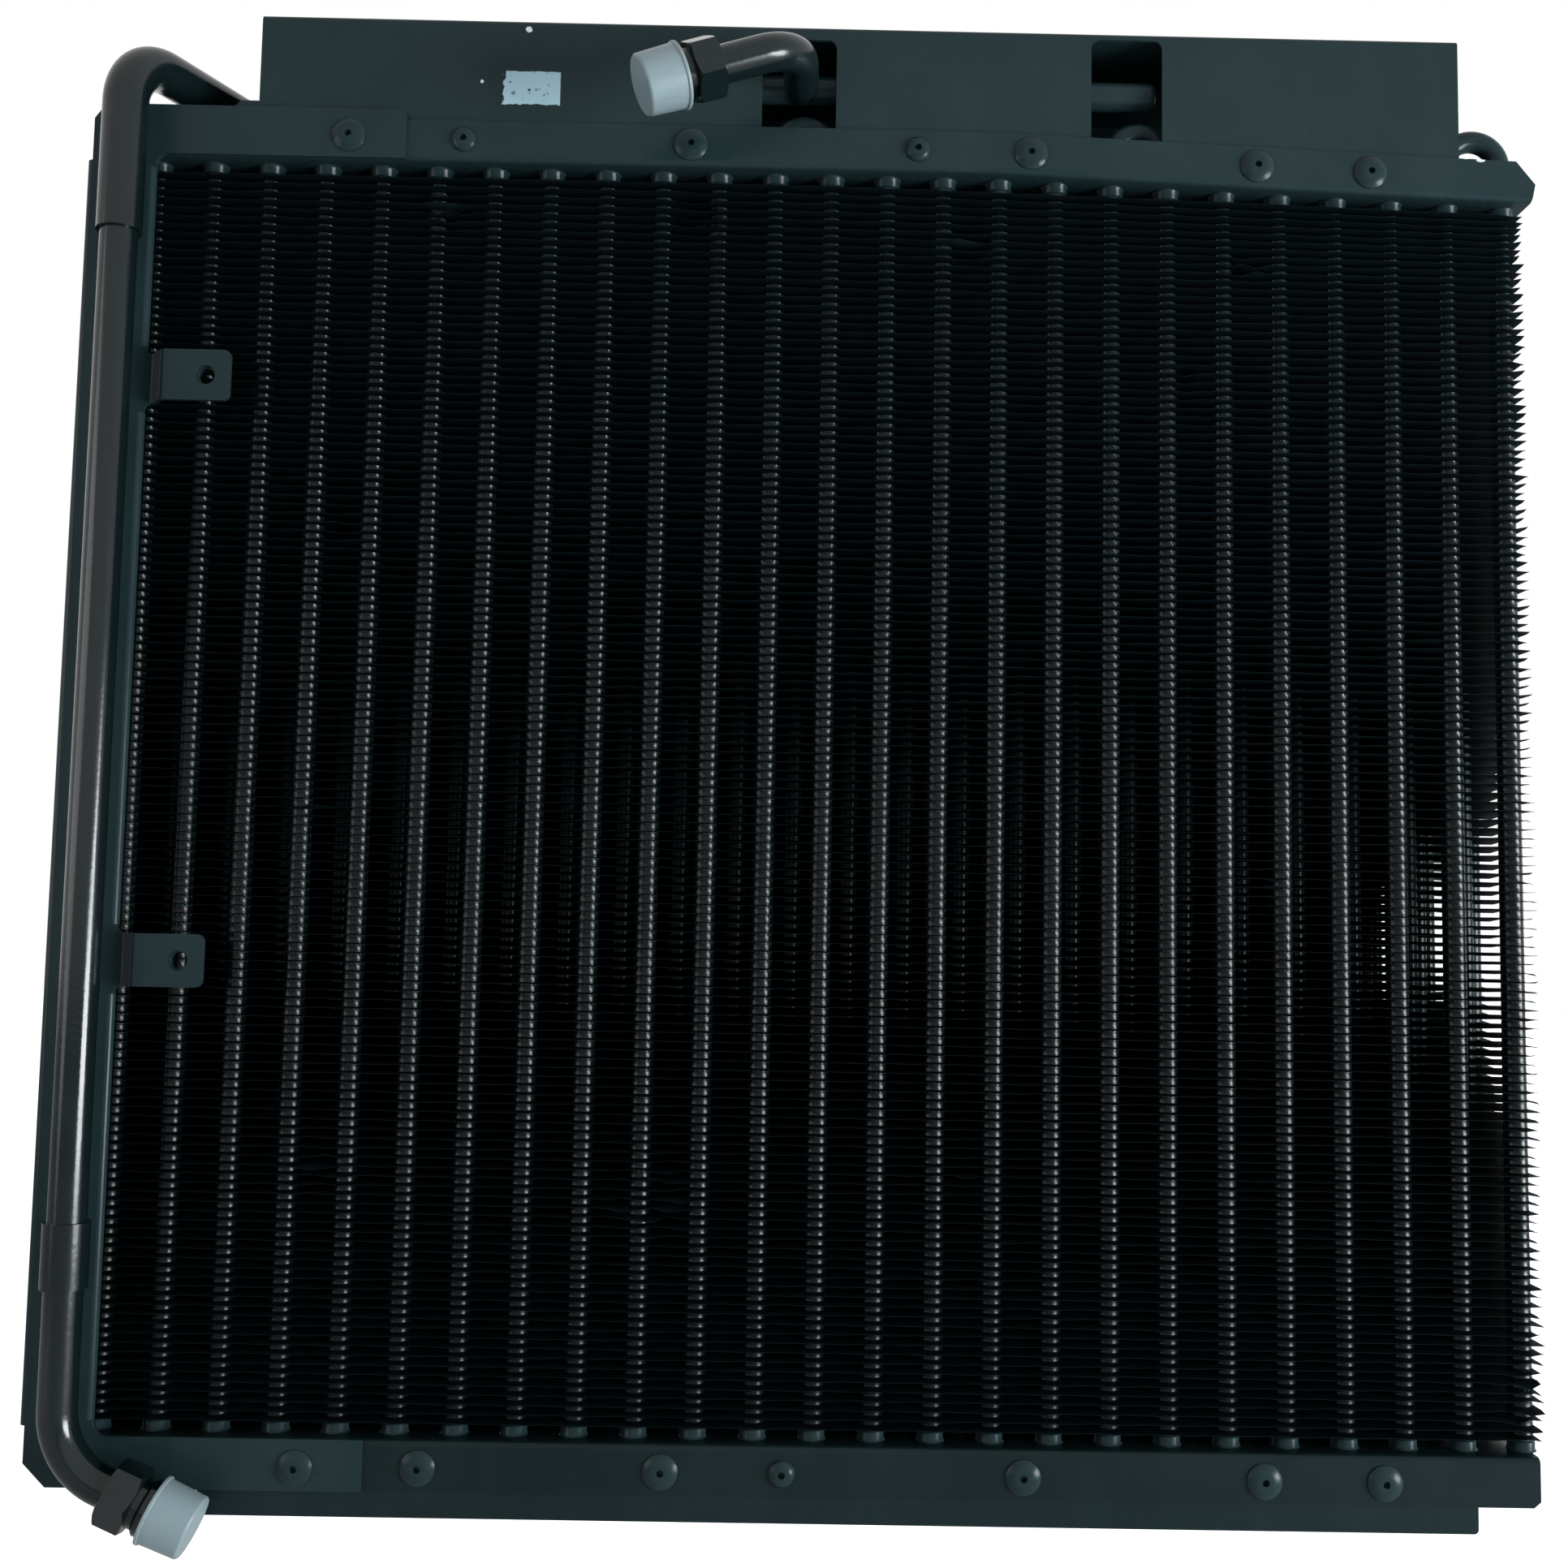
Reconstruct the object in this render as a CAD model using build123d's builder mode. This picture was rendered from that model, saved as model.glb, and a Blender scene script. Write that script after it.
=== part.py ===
from build123d import *
import os
from math import atan2, cos, degrees, radians, sin, tan

# Round-tube, plate-fin condenser, upright: +Z up, the front faces -Y.
# Every piece is modelled about the middle of the tube field. At the end all are moved so that
# the origin lies midway between the two weld nuts, where the bolts enter them.

# Tube field: four rows, staggered by half a pitch, so that all neighbours are one pitch apart
tube_pitch = 25.4
tube_od = 9.52
tube_wall = 0.7
columns = 25
rows = 4
tube_stick_out = 7.5
hairpin_drop = 4.9
bend_leg = 3.0
joint_clearance = 0.1

# Circuits: each group of columns runs through all the rows
group_ends = (8, 16, 25)
stub_columns = (8, 16, 17)
top_crossovers = ((3, 1), (2, 8), (1, 1), (3, 9), (2, 16), (1, 9), (2, 17))
bottom_crossovers = ((3, 25), (1, 25))

# Fins
fin_count = 139
fin_pitch = 3.93
fin_thickness = 0.3
fin_slot_clearance = 0.3
top_fin_gap = 7.4
bottom_fin_gap = 6.5

# Channels that hold the tubes' ends
channel_sheet = 1.5
channel_clearance = 0.6
channel_bend = 1.1
channel_left = 322.8
top_channel_right = 322.0
bottom_channel_right = 313.6
top_flange = 18.4
bottom_flange = 20.4
top_right_cut = (8.5, 10.3)
top_right_undercut = 1.6
bottom_right_cut = (3.0, 2.5)

# Side plate, a folded sheet with two tabs
side_sheet = 2.0
side_bend = 1.0
side_stand_out = 2.7
side_width = 30.7
side_fold_height = 273.8
side_rear_flange = 15.0
side_arm_overlap = 0.5
side_arm_rise = 3.5
side_arm_drop = 0.2
side_inner_radius = 6.0
side_lip_bend = 0.8
top_arm_end = 184.3
bottom_arm_end = 181.8
top_left_cut = (5.0, 7.0)
bottom_left_cut = (9.6, 9.6)

# Tabs and the weld nuts behind them
tab_spacing = 254.0
tab_middle = 47.6
tab_hole_x = -265.8
tab_hole_radius = 4.25
tab_tip = -255.0
tab_height = 22.5
tab_step = 7.2
tab_ramp = 6.5
tab_bend = 1.5
tab_corner = 3.2
tab_root = 3.0
tab_relief = 0.5
nut_bore_radius = 3.4
nut_flats = 13.0
nut_height = 6.0

# Cover plate folded over the headers: front with two windows, top and back
plate_sheet = 1.6
plate_bend = 1.4
plate_clearance = 0.4
cover_left = -251.3
cover_right = 288.4
cover_top = 345.1
cover_foot_left = -268.0
cover_foot_top = 304.4
cover_foot_end = -259.5
cover_foot_drop = 4.6
cover_foot_hollow = 1.2
window_left = (-25.8, 122.5)
window_right = (7.5, 154.5)
window_head = (338.5, 341.5)
window_sill = 288.0
window_radius = 4.2

# Strip below the bottom channel
strip_left = -251.0
strip_right = 287.7
strip_bottom = 310.0
strip_corner = 2.0

# Blind rivets
top_rivet_line = 9.4
bottom_rivet_line = 11.1
rivet_shank_radius = 2.4
rivet_clearance = 0.1
rivet_bulb_radius = 3.4
rivet_bulb_height = 2.6
rivet_brim = 0.7
rivet_rise = 2.6
rivet_shoulder = (0.66, 0.78)
rivet_hole_radius = 1.5
rivet_hole_depth = 2.4
large_head_radius = 7.4
small_head_radius = 5.6
arm_gap = 4
large_top_gaps = (10, 16, 20, 22)
small_top_gaps = (6, 14)
large_bottom_gaps = (6, 10, 16, 20, 22)
small_bottom_gaps = (12,)

# Headers
header_rise = 33.18
gas_header_od = 19.05
gas_header_wall = 1.5
gas_header_left = -200.0
gas_header_right = 108.0
liquid_header_od = 12.7
liquid_header_wall = 1.2
liquid_header_left = -130.0
liquid_header_right = 153.9
header_end_radius = 3.6
stub_depth = 2.8

# Gas pipe in front of the side plate: a wide bend over the corner, a straight pipe, a lower bend
pipe_od = 15.88
pipe_wall = 1.2
pipe_x = -302.8
pipe_gap = 2.3
arch_foot = 234.3
arch_front_height = 315.6
arch_front_radius = 25.0
arch_rear_x = -262.0
arch_rear_radius = 40.0
arch_socket = 16.0
sleeve_od = 19.05
sleeve_top = -186.8
sleeve_bottom = -213.6
sleeve_joint = 0.3
lower_corner_height = -283.8
lower_bend_radius = 33.0
lower_pitch = 23.3
lower_hex_distance = 24.9

# Hose fittings and their transit caps, alike at both ends
hex_flats = 24.1
hex_length = 12.6
hex_chamfer = 1.0
neck_radius = 10.0
neck_length = 3.0
thread_radius = 11.6
thread_length = 15.0
thread_chamfer = 1.2
port_radius = 6.0
socket_depth = 7.0
cap_length = 18.4
cap_wall = 1.8
cap_rim_radius = 14.0
cap_rim_height = 1.4
cap_mouth_radius = 13.3
cap_end_radius = 12.7
cap_end_round = 1.4
lower_cap_gap = 6.8
upper_cap_gap = 4.2

# Elbow that comes forward out of the first window
elbow_od = 16.0
elbow_wall = 1.2
elbow_tee_x = -8.0
elbow_tee_offset = 3.0
elbow_corner = (-9.5, -77.0, 318.5)
elbow_direction = (-0.905, -0.20, -0.375)
elbow_radius = 24.0
elbow_hex_distance = 38.7
tee_port_radius = 4.0

# Sizes that follow from the ones above
row_pitch = tube_pitch * sin(radians(60))
tube_radius = tube_od / 2
fin_width = columns * tube_pitch
fin_depth = rows * row_pitch
fin_stack = (fin_count - 1) * fin_pitch
web_inside = (fin_stack + top_fin_gap + bottom_fin_gap) / 2
web_outside = web_inside + channel_sheet
channel_front = fin_depth / 2 + channel_clearance + channel_sheet
plate_front = channel_front - channel_sheet
side_front = channel_front + side_sheet
side_edge = channel_left + side_stand_out
side_inner = side_edge - side_width
arm_edge = web_inside - side_arm_overlap
side_top = web_inside + top_flange + side_arm_rise
side_bottom = web_inside + bottom_flange + side_arm_drop
side_lip = side_sheet + side_lip_bend
tab_front = side_front + tab_step
nut_mouth = tab_front - side_sheet
tab_half = tab_height / 2 + tab_root + tab_relief
tab_centres = (tab_middle - tab_spacing / 2, tab_middle + tab_spacing / 2)
plate_foot = web_outside + channel_bend + plate_clearance
cover_shoulder = cover_top - plate_bend - plate_sheet
tube_top = web_outside + tube_stick_out
tube_foot = -web_outside - hairpin_drop
header_height = tube_top + header_rise
top_bend_height = tube_top + bend_leg
front_row_y = -(rows - 1) / 2 * row_pitch
rear_row_y = -front_row_y
gas_header_radius = gas_header_od / 2
liquid_header_radius = liquid_header_od / 2
pipe_radius = pipe_od / 2
pipe_y = -side_front - pipe_gap - cap_rim_radius
sleeve_middle = (sleeve_top + sleeve_bottom) / 2
lower_corner = (pipe_x, pipe_y, lower_corner_height)
lower_direction = (cos(radians(lower_pitch)), 0, -sin(radians(lower_pitch)))
cap_bore = thread_radius + joint_clearance
top_rivet_height = web_inside + top_rivet_line
bottom_rivet_height = -web_inside - bottom_rivet_line
plate_grip = channel_sheet + plate_sheet


def tube_x(row, column):
    """Middle of a tube: odd rows stand a quarter pitch to the right, even rows to the left."""
    shift = tube_pitch / 4 if row % 2 else -tube_pitch / 4
    return (column - (columns + 1) / 2) * tube_pitch + shift


def row_y(row):
    return (row - (rows + 1) / 2) * row_pitch


def front(depth):
    """Upright plane that looks to the front, so far in front of the tube field's middle."""
    return Plane.XZ.offset(depth)


def along(start, direction, distance):
    return tuple(a + b * distance for a, b in zip(start, direction))


def level_with(height):
    """Selects the corners of a sketch that lie at a height."""
    return lambda corner: abs(corner.Y - height) < joint_clearance


def beside(place):
    """Selects the corners of a sketch that lie at a place along its width."""
    return lambda corner: abs(corner.X - place) < joint_clearance


def u_tube(leg, side):
    """Tube bent through half a turn about the origin, with its legs up (1) or down (-1)."""
    with BuildPart() as bent:
        with BuildLine(Plane.XZ) as route:
            Line((-tube_pitch / 2, side * leg), (-tube_pitch / 2, 0))
            CenterArc((0, 0), tube_pitch / 2, 180, side * 180)
            Line((tube_pitch / 2, 0), (tube_pitch / 2, side * leg))
        with BuildSketch(Plane(origin=route.line @ 0, z_dir=route.line % 0)):
            Circle(tube_radius)
            Circle(tube_radius - tube_wall, mode=Mode.SUBTRACT)
        sweep()
    return bent.part


def upright_tube(length, radius, wall):
    """Tube that stands on the origin."""
    with BuildPart() as tube:
        with BuildSketch():
            Circle(radius)
            Circle(radius - wall, mode=Mode.SUBTRACT)
        extrude(amount=length)
    return tube.part


def bent_pipe(points, radii, radius, wall):
    """Pipe along straight runs joined by tangent arcs."""
    with BuildPart() as pipe:
        with BuildLine() as route:
            FilletPolyline(*points, radius=radii)
        with BuildSketch(Plane(origin=route.line @ 0, z_dir=route.line % 0)):
            Circle(radius)
            Circle(radius - wall, mode=Mode.SUBTRACT)
        sweep()
    return pipe.part


def tube_row(row):
    """Hairpins side by side, and a straight tube in the odd last column."""
    with BuildPart() as tubes:
        with Locations(*[(tube_x(row, column) + tube_pitch / 2, row_y(row), tube_foot)
                         for column in range(1, columns, 2)]):
            add(hairpin)
        with Locations((tube_x(row, columns), row_y(row), tube_foot + bend_leg)):
            add(end_tube)
    return tubes.part


def bend_row(row):
    """Return bends on top of a row, left out where one circuit ends and the next begins."""
    starts = [column for column in range(2, columns, 2) if column not in group_ends]
    with BuildPart() as bends:
        with Locations(*[(tube_x(row, start) + tube_pitch / 2, row_y(row), top_bend_height)
                         for start in starts]):
            add(top_bend)
    return bends.part


def crossover(row, column, height):
    """Place of a bend that joins a tube to its neighbour in the row behind."""
    step = tube_x(row + 1, column) - tube_x(row, column)
    middle = (tube_x(row, column) + step / 2, row_y(row) + row_pitch / 2, height)
    return Location(middle, (0, 0, degrees(atan2(row_pitch, step))))


def corner_cut(side, height, cut):
    """Triangle that takes a corner off an upright sheet, outwards from its sloping line."""
    width, drop = cut
    inward = -1 if side > 0 else 1
    down = -1 if height > 0 else 1
    return [(side, height + down * drop), (side + inward * width, height), (side, height)]


def channel(sign, right, flange, cuts, places):
    """Folded sheet: a web with the tube holes, and a flange along its front and its back."""
    edge = sign * (web_inside + flange)
    inside = sign * web_inside
    outside = sign * web_outside
    with BuildPart() as folded:
        with BuildSketch(Plane.YZ.offset(-channel_left)) as profile:
            with BuildLine():
                Polyline((-channel_front, edge), (-channel_front, inside), (channel_front, inside),
                         (channel_front, edge), (plate_front, edge), (plate_front, outside),
                         (-plate_front, outside), (-plate_front, edge), close=True)
            make_face()
            fillet(profile.vertices().filter_by(level_with(inside)), channel_bend + channel_sheet)
            fillet(profile.vertices().filter_by(level_with(outside)), channel_bend)
        extrude(amount=channel_left + right)
        with BuildSketch(Plane.XY.offset(inside)):
            for row in range(1, rows + 1):
                with Locations(*[(tube_x(row, column), row_y(row)) for column in range(1, columns + 1)]):
                    Circle(tube_radius + joint_clearance)
        extrude(amount=sign * channel_sheet, mode=Mode.SUBTRACT)
        with BuildSketch(front(channel_front)):
            with Locations(*places):
                Circle(rivet_shank_radius + rivet_clearance)
        extrude(amount=-channel_sheet, mode=Mode.SUBTRACT)
        with BuildSketch(front(channel_front)):
            for outline in cuts:
                with BuildLine():
                    Polyline(*outline, close=True)
                make_face()
        extrude(amount=-2 * channel_front, mode=Mode.SUBTRACT)
    return folded.part


def rivet_places(height, *gaps):
    """Rivets stand midway between two tubes of the front row."""
    return [(tube_x(1, gap) + tube_pitch / 2, height) for gap in gaps]


def blind_rivet(head_radius, grip):
    """Rivet with the underside of its head at the origin and its shank pointing up."""
    crown = (rivet_hole_radius, -rivet_rise)
    rim = (head_radius, -rivet_brim)
    shoulder = (head_radius * rivet_shoulder[0], -rivet_brim - (rivet_rise - rivet_brim) * rivet_shoulder[1])
    with BuildPart() as rivet:
        with BuildSketch(Plane.XZ):
            with BuildLine():
                Polyline(crown, (rivet_hole_radius, rivet_hole_depth - rivet_rise),
                         (0, rivet_hole_depth - rivet_rise), (0, grip + rivet_bulb_height),
                         (rivet_shank_radius, grip + rivet_bulb_height), (rivet_bulb_radius, grip + rivet_brim),
                         (rivet_bulb_radius, grip), (rivet_shank_radius, grip), (rivet_shank_radius, 0),
                         (head_radius, 0), rim)
                ThreePointArc(rim, shoulder, crown)
            make_face()
        revolve(axis=Axis.Z)
    return rivet.part


def rivet_row(height, large_gaps, small_gaps):
    """Rivets along a flange; the one in the side plate's arm grips one sheet more."""
    with BuildPart() as row:
        for gaps, head_radius, depth in (((arm_gap,), large_head_radius, side_front),
                                         (large_gaps, large_head_radius, channel_front),
                                         (small_gaps, small_head_radius, channel_front)):
            rivet = blind_rivet(head_radius, plate_grip + depth - channel_front)
            for x, z in rivet_places(height, *gaps):
                with Locations(Plane(origin=(x, -depth, z), z_dir=(0, 1, 0))):
                    add(rivet)
    return row.part


def header(radius, wall, left, right, y, open_left):
    """Round header along X, closed by rounded ends, or left open at its left end for a pipe."""
    with BuildPart() as closed:
        with BuildSketch(Plane.YZ.offset(left)):
            with Locations((y, header_height)):
                Circle(radius)
        extrude(amount=right - left)
        ends = closed.edges().filter_by(GeomType.CIRCLE).sort_by(Axis.X)
        fillet(ends[1:] if open_left else ends, header_end_radius)
    with BuildPart() as bore:
        with BuildSketch(Plane.YZ.offset(left if open_left else left + wall)):
            with Locations((y, header_height)):
                Circle(radius - wall)
        extrude(amount=right - left - (wall if open_left else 2 * wall))
        ends = bore.edges().filter_by(GeomType.CIRCLE).sort_by(Axis.X)
        fillet(ends[1:] if open_left else ends, header_end_radius - wall)
    with BuildPart() as hollow:
        add(closed.part)
        add(bore.part, mode=Mode.SUBTRACT)
    return hollow.part


def stub_row(row, header_radius):
    """Short tubes from a row's tube ends up into the header above them."""
    length = header_height - header_radius + stub_depth - tube_top
    with BuildPart() as stubs:
        with Locations(*[(tube_x(row, column), row_y(row), tube_top) for column in stub_columns]):
            add(upright_tube(length, tube_radius, tube_wall))
    return stubs.part


def hose_fitting(tube_outer_radius):
    """Threaded fitting that points up, with the rear face of its hexagon at the origin."""
    hex_corner = hex_flats / 2 / cos(radians(30))
    thread_start = hex_length + neck_length
    tip = thread_start + thread_length
    with BuildPart() as fitting:
        with BuildSketch():
            RegularPolygon(hex_flats / 2, 6, major_radius=False)
        extrude(amount=hex_length)
        with BuildSketch(Plane.XZ):
            with BuildLine():
                Polyline((0, 0), (hex_flats / 2, 0), (hex_corner, hex_chamfer),
                         (hex_corner, hex_length - hex_chamfer), (hex_flats / 2, hex_length),
                         (0, hex_length), close=True)
            make_face()
        revolve(axis=Axis.Z, mode=Mode.INTERSECT)
        with BuildSketch(Plane.XZ):
            with BuildLine():
                Polyline((0, hex_length), (neck_radius, hex_length), (neck_radius, thread_start),
                         (thread_radius - thread_chamfer, thread_start),
                         (thread_radius, thread_start + thread_chamfer), (thread_radius, tip - thread_chamfer),
                         (thread_radius - thread_chamfer, tip), (0, tip), close=True)
            make_face()
        revolve(axis=Axis.Z)
        with BuildSketch():
            Circle(tube_outer_radius + joint_clearance)
        extrude(amount=socket_depth, mode=Mode.SUBTRACT)
        with BuildSketch():
            Circle(port_radius)
        extrude(amount=tip, mode=Mode.SUBTRACT)
    return fitting.part


def transit_cap():
    """Cup that points up, with its mouth at the origin."""
    floor = cap_length - cap_wall
    with BuildPart() as cap:
        with BuildSketch(Plane.XZ) as profile:
            with BuildLine():
                Polyline((cap_bore, 0), (cap_rim_radius, 0), (cap_rim_radius, cap_rim_height),
                         (cap_mouth_radius, cap_rim_height), (cap_end_radius, cap_length), (0, cap_length),
                         (0, floor), (cap_bore, floor), close=True)
            make_face()
            fillet(profile.vertices().filter_by(beside(cap_end_radius)), cap_end_round)
        revolve(axis=Axis.Z)
    return cap.part


def tab():
    """Tab that steps forward from the side plate's inner edge, with its bolt hole at height 0."""
    shift = side_sheet * tan(atan2(tab_step, tab_ramp) / 2)
    root = -side_inner - side_lip
    ramp_start = -side_inner + tab_root
    ramp_end = ramp_start + tab_ramp
    front_line = [(root, -side_front), (ramp_start, -side_front), (ramp_end, -tab_front), (tab_tip, -tab_front)]
    back_line = [(tab_tip, -nut_mouth), (ramp_end + shift, -nut_mouth),
                 (ramp_start + shift, -channel_front), (root, -channel_front)]
    half = tab_height / 2
    with BuildPart() as step:
        with BuildSketch() as profile:
            with BuildLine():
                Polyline(*front_line, *back_line, close=True)
            make_face()
            inner_bends = profile.vertices().filter_by(beside(ramp_start)) \
                + profile.vertices().filter_by(beside(ramp_end + shift))
            fillet(inner_bends, tab_bend)
            outer_bends = profile.vertices().filter_by(beside(ramp_start + shift)) \
                + profile.vertices().filter_by(beside(ramp_end))
            fillet(outer_bends, tab_bend + side_sheet)
        extrude(amount=tab_half, both=True)
        with BuildSketch(front(tab_front)) as outline:
            with BuildLine():
                Polyline((root, tab_half), (-side_inner, tab_half), (-side_inner, half), (tab_tip, half),
                         (tab_tip, -half), (-side_inner, -half), (-side_inner, -tab_half), (root, -tab_half),
                         close=True)
            make_face()
            fillet(outline.vertices().filter_by(beside(tab_tip)), tab_corner)
            roots = outline.vertices().filter_by(beside(-side_inner))
            fillet(roots.filter_by(lambda corner: abs(corner.Y) < half + joint_clearance), tab_root)
        extrude(amount=-tab_step - side_sheet, mode=Mode.INTERSECT)
        with BuildSketch(front(tab_front)):
            with Locations((tab_hole_x, 0)):
                Circle(tab_hole_radius)
        extrude(amount=-side_sheet, mode=Mode.SUBTRACT)
    return step.part


def window_outlines():
    """Middle and size of each window in the cover plate."""
    for left, right, head in zip(window_left, window_right, window_head):
        yield ((left + right) / 2, (head + window_sill) / 2), (right - left, head - window_sill)


# The tube field's own pieces
hairpin = u_tube(tube_top - tube_foot, 1)
top_bend = u_tube(bend_leg, -1)
bottom_bend = u_tube(bend_leg, 1)
end_tube = upright_tube(tube_top - tube_foot - bend_leg, tube_radius, tube_wall)

with BuildPart() as fin:
    with BuildSketch():
        Rectangle(fin_width, fin_depth)
        for row in range(1, rows + 1):
            slot_right = tube_x(row, columns) + tube_radius + fin_slot_clearance
            with Locations((slot_right, row_y(row))):
                Rectangle(slot_right + fin_width / 2, 2 * (tube_radius + fin_slot_clearance),
                          align=(Align.MAX, Align.CENTER), mode=Mode.SUBTRACT)
    extrude(amount=fin_thickness)

with BuildPart() as fin_pack:
    with Locations(*[(0, 0, bottom_fin_gap - web_inside + fin_pitch * number) for number in range(fin_count)]):
        add(fin.part)

with BuildPart() as front_row_tubes:
    add(tube_row(1))

with BuildPart() as second_row_tubes:
    add(tube_row(2))

with BuildPart() as third_row_tubes:
    add(tube_row(3))

with BuildPart() as rear_row_tubes:
    add(tube_row(4))

with BuildPart() as front_row_bends:
    add(bend_row(1))

with BuildPart() as second_row_bends:
    add(bend_row(2))

with BuildPart() as third_row_bends:
    add(bend_row(3))

with BuildPart() as rear_row_bends:
    add(bend_row(4))

with BuildPart() as crossover_bends:
    for row, column in top_crossovers:
        with Locations(crossover(row, column, top_bend_height)):
            add(top_bend)
    for row, column in bottom_crossovers:
        with Locations(crossover(row, column, tube_foot)):
            add(bottom_bend)

# Sheet metal
top_left_corner = corner_cut(-channel_left, side_top, top_left_cut)
bottom_left_corner = corner_cut(-channel_left, -side_bottom, bottom_left_cut)
top_edge = web_inside + top_flange
top_right_corner = [(top_channel_right - top_right_cut[0], top_edge), (top_channel_right + 1, top_edge),
                    (top_channel_right + 1, web_inside), (top_channel_right - top_right_undercut, web_inside),
                    (top_channel_right, top_edge - top_right_cut[1])]
bottom_right_corner = corner_cut(bottom_channel_right, -web_inside - bottom_flange, bottom_right_cut)
top_places = rivet_places(top_rivet_height, arm_gap, *large_top_gaps, *small_top_gaps)
bottom_places = rivet_places(bottom_rivet_height, arm_gap, *large_bottom_gaps, *small_bottom_gaps)

with BuildPart() as top_channel:
    add(channel(1, top_channel_right, top_flange, (top_left_corner, top_right_corner), top_places))

with BuildPart() as bottom_channel:
    add(channel(-1, bottom_channel_right, bottom_flange, (bottom_left_corner, bottom_right_corner),
                bottom_places))

with BuildPart() as side_plate:
    with BuildSketch(front(side_front)) as outline:
        with BuildLine():
            Polyline((-channel_left, -side_bottom + bottom_left_cut[1]),
                     (-channel_left + bottom_left_cut[0], -side_bottom), (-bottom_arm_end, -side_bottom),
                     (-bottom_arm_end, -arm_edge), (-side_inner, -arm_edge), (-side_inner, arm_edge),
                     (-top_arm_end, arm_edge), (-top_arm_end, side_top),
                     (-channel_left + top_left_cut[0], side_top), (-channel_left, side_top - top_left_cut[1]),
                     close=True)
        make_face()
        fillet(outline.vertices().filter_by(beside(-side_inner)), side_inner_radius)
    extrude(amount=-side_sheet)
    with BuildSketch(Plane.XY.offset(-side_fold_height)) as fold:
        with BuildLine():
            Polyline((-side_inner - side_lip, -side_front), (-side_edge, -side_front), (-side_edge, side_front),
                     (-side_edge + side_rear_flange, side_front), (-side_edge + side_rear_flange, channel_front),
                     (-side_edge + side_sheet, channel_front), (-side_edge + side_sheet, -channel_front),
                     (-side_inner - side_lip, -channel_front), close=True)
        make_face()
        fillet(fold.vertices().filter_by(beside(-side_edge)), side_bend + side_sheet)
        fillet(fold.vertices().filter_by(beside(-side_edge + side_sheet)), side_bend)
    extrude(amount=2 * side_fold_height)
    lip_end = arm_edge - side_inner_radius
    for low, high in ((-lip_end, tab_centres[0] - tab_half), (tab_centres[0] + tab_half, tab_centres[1] - tab_half),
                      (tab_centres[1] + tab_half, lip_end)):
        with BuildSketch(Plane.XY.offset(low)):
            with Locations((-side_inner, -side_front)):
                Rectangle(side_lip, side_lip, align=(Align.MAX, Align.MIN))
        extrude(amount=high - low, mode=Mode.SUBTRACT)
        with BuildSketch(Plane.XY.offset(low)):
            with Locations((-side_inner - side_lip, -side_front + side_lip)):
                Circle(side_lip)
                Circle(side_lip_bend, mode=Mode.SUBTRACT)
                Rectangle(side_lip, side_lip, align=(Align.MIN, Align.MAX), mode=Mode.INTERSECT)
        extrude(amount=high - low)
    with Locations(*[(0, 0, height) for height in tab_centres]):
        add(tab())
    with BuildSketch(front(side_front)):
        with Locations(*rivet_places(top_rivet_height, arm_gap), *rivet_places(bottom_rivet_height, arm_gap)):
            Circle(rivet_shank_radius + rivet_clearance)
    extrude(amount=-side_sheet, mode=Mode.SUBTRACT)

with BuildPart() as weld_nuts:
    with BuildSketch(front(nut_mouth)):
        with Locations(*[(tab_hole_x, height) for height in tab_centres]):
            RegularPolygon(nut_flats / 2, 6, major_radius=False)
            Circle(nut_bore_radius, mode=Mode.SUBTRACT)
    extrude(amount=-nut_height)

with BuildPart() as cover_plate:
    with BuildSketch(front(plate_front)):
        with BuildLine():
            Polyline((cover_foot_left, cover_foot_top - cover_foot_drop), (cover_foot_left, plate_foot),
                     (cover_right, plate_foot), (cover_right, cover_shoulder), (cover_left, cover_shoulder),
                     (cover_left, cover_foot_top), (cover_foot_end, cover_foot_top))
            SagittaArc((cover_foot_end, cover_foot_top), (cover_foot_left, cover_foot_top - cover_foot_drop),
                       cover_foot_hollow)
        make_face()
    extrude(amount=-plate_sheet)
    with BuildSketch(Plane.YZ.offset(cover_left)) as fold:
        with Locations((0, cover_top)):
            Rectangle(2 * plate_front, cover_top - plate_foot, align=(Align.CENTER, Align.MAX))
        with Locations((0, cover_top - plate_sheet)):
            Rectangle(2 * (plate_front - plate_sheet), cover_top - plate_foot, align=(Align.CENTER, Align.MAX),
                      mode=Mode.SUBTRACT)
        fillet(fold.vertices().filter_by(level_with(cover_top)), plate_bend + plate_sheet)
        fillet(fold.vertices().filter_by(level_with(cover_top - plate_sheet)), plate_bend)
    extrude(amount=cover_right - cover_left)
    with BuildSketch(front(plate_front)):
        for place, size in window_outlines():
            with Locations(place):
                RectangleRounded(*size, window_radius)
        with Locations(*top_places):
            Circle(rivet_shank_radius + rivet_clearance)
    extrude(amount=-plate_sheet, mode=Mode.SUBTRACT)

with BuildPart() as lower_plate:
    with BuildSketch(front(plate_front)) as outline:
        with Locations(((strip_left + strip_right) / 2, -(strip_bottom + plate_foot) / 2)):
            Rectangle(strip_right - strip_left, strip_bottom - plate_foot)
        lower_corners = outline.vertices().filter_by(level_with(-strip_bottom))
        fillet(lower_corners, strip_corner)
        with Locations(*bottom_places):
            Circle(rivet_shank_radius + rivet_clearance, mode=Mode.SUBTRACT)
    extrude(amount=-plate_sheet)

with BuildPart() as top_rivets:
    add(rivet_row(top_rivet_height, large_top_gaps, small_top_gaps))

with BuildPart() as bottom_rivets:
    add(rivet_row(bottom_rivet_height, large_bottom_gaps, small_bottom_gaps))

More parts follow.
